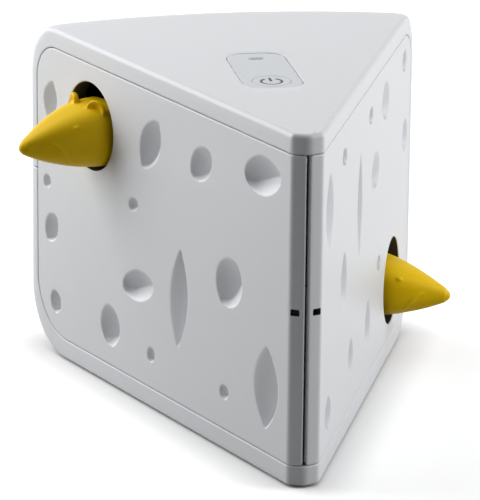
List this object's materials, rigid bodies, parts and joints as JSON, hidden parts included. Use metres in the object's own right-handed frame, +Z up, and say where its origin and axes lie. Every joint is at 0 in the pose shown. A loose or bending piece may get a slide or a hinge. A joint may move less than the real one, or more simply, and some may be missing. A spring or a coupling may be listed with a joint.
{
  "type": "automatic cheese cat toy",
  "caption": "Wedge-shaped battery cat toy with dented side walls and a yellow mouse head that swings out of a round hole on each side",
  "frame": {"origin": "the middle of the underside of the whole toy's bounding box, on the surface that the feet stand on", "axes": "+Z up; -Y toward the front edge of the wedge, +Y toward the curved rind; +X toward the right wall as seen from the front"},
  "size_m": [0.2092, 0.2346, 0.161],
  "materials": {
    "shell": "moulded, semi-gloss",
    "pad": "soft-touch, satin",
    "lens": "tinted, clear",
    "board": "solder mask",
    "black": "matte",
    "natural": "natural acetal",
    "frame": "moulded, matte",
    "mouse": "moulded, glossy",
    "brass": "turned",
    "cell": "printed wrap",
    "lead": "matte",
    "steel": "plated"
  },
  "bodies": {
    "housing": {"upper_shell": "shell", "lower_shell": "shell", "left_panel": "shell", "right_panel": "shell", "control_pad": "pad", "status_light": "lens", "light_emitter": "lens", "circuit_board": "board", "key_switch": "black", "control_chip": "black", "battery_lead_black": "black", "front_foot": "black", "right_foot": "black", "left_foot": "black", "lead_socket": "natural", "lower_deck": "frame", "upper_deck": "frame", "battery_box": "frame", "battery_cell_1": "cell", "battery_cell_2": "cell", "battery_cell_3": "cell", "battery_lead_red": "lead", "door_hinge_pin": "steel", "front_contact_single": "steel", "front_contact_double": "steel", "back_contact_double": "steel", "back_contact_single": "steel", "board_screw_1": "steel", "board_screw_2": "steel", "deck_screw_1": "steel", "deck_screw_2": "steel", "deck_screw_3": "steel", "case_screw_1": "steel", "case_screw_2": "steel", "case_screw_3": "steel", "left_pivot_shaft": "steel", "right_pivot_shaft": "steel", "left_idler_pin": "steel", "right_idler_pin": "steel", "left_motor": "steel", "right_motor": "steel"},
    "left_mouse": {"left_mouse_head": "mouse", "left_head_screw": "steel", "left_swing_arm": "mouse", "left_hub_bush": "brass", "left_sector_gear": "natural"},
    "right_mouse": {"right_mouse_head": "mouse", "right_head_screw": "steel", "right_swing_arm": "mouse", "right_hub_bush": "brass", "right_sector_gear": "natural"},
    "left_idler": {"left_idler_gear": "natural"},
    "right_idler": {"right_idler_gear": "natural"},
    "left_pinion": {"left_motor_pinion": "brass"},
    "right_pinion": {"right_motor_pinion": "brass"},
    "power_key": {"power_button": "pad"},
    "bay_door": {"battery_door": "shell", "door_screw": "steel"}
  },
  "joints": [
    {"name": "left_mouse_swing", "type": "hinge", "parent": "housing", "child": "left_mouse", "pos_m": [-0.01655, -0.02582, 0.118], "axis": [0, 0, -1], "range_deg": [0, 29]},
    {"name": "right_mouse_swing", "type": "hinge", "parent": "housing", "child": "right_mouse", "pos_m": [0.0247, -0.01934, 0.035], "axis": [0, 0, 1], "range_deg": [-8, 21]},
    {"name": "left_idler_spin", "type": "hinge", "parent": "housing", "child": "left_idler", "pos_m": [-0.00973, -0.05401, 0.1], "axis": [0, 0, -1], "range_deg": [-140, 1]},
    {"name": "right_idler_spin", "type": "hinge", "parent": "housing", "child": "right_idler", "pos_m": [0.01623, -0.04707, 0.055], "axis": [0, 0, 1], "range_deg": [-102, 39]},
    {"name": "left_pinion_spin", "type": "hinge", "parent": "housing", "child": "left_pinion", "pos_m": [-0.00574, -0.07053, 0.097], "axis": [0, 0, -1], "range_deg": [-1, 336]},
    {"name": "right_pinion_spin", "type": "hinge", "parent": "housing", "child": "right_pinion", "pos_m": [0.01126, -0.06333, 0.058], "axis": [0, 0, 1], "range_deg": [-94, 243]},
    {"name": "power_button_press", "type": "slide", "parent": "housing", "child": "power_key", "axis": [0, 0, -1], "range_m": [0, 0.0008], "stiffness_N_per_m": 500},
    {"name": "battery_door_hinge", "type": "hinge", "parent": "housing", "child": "bay_door", "pos_m": [-0.02124, 0.01465, 0.0032], "axis": [-1, 0, 0], "range_deg": [0, 95]}
  ],
  "couplings": [
    {"joint": "left_idler_spin", "follows": "left_mouse_swing", "ratio": -4.8},
    {"joint": "left_pinion_spin", "follows": "left_mouse_swing", "ratio": 11.52},
    {"joint": "right_idler_spin", "follows": "right_mouse_swing", "ratio": -4.8},
    {"joint": "right_pinion_spin", "follows": "right_mouse_swing", "ratio": 11.52}
  ]
}
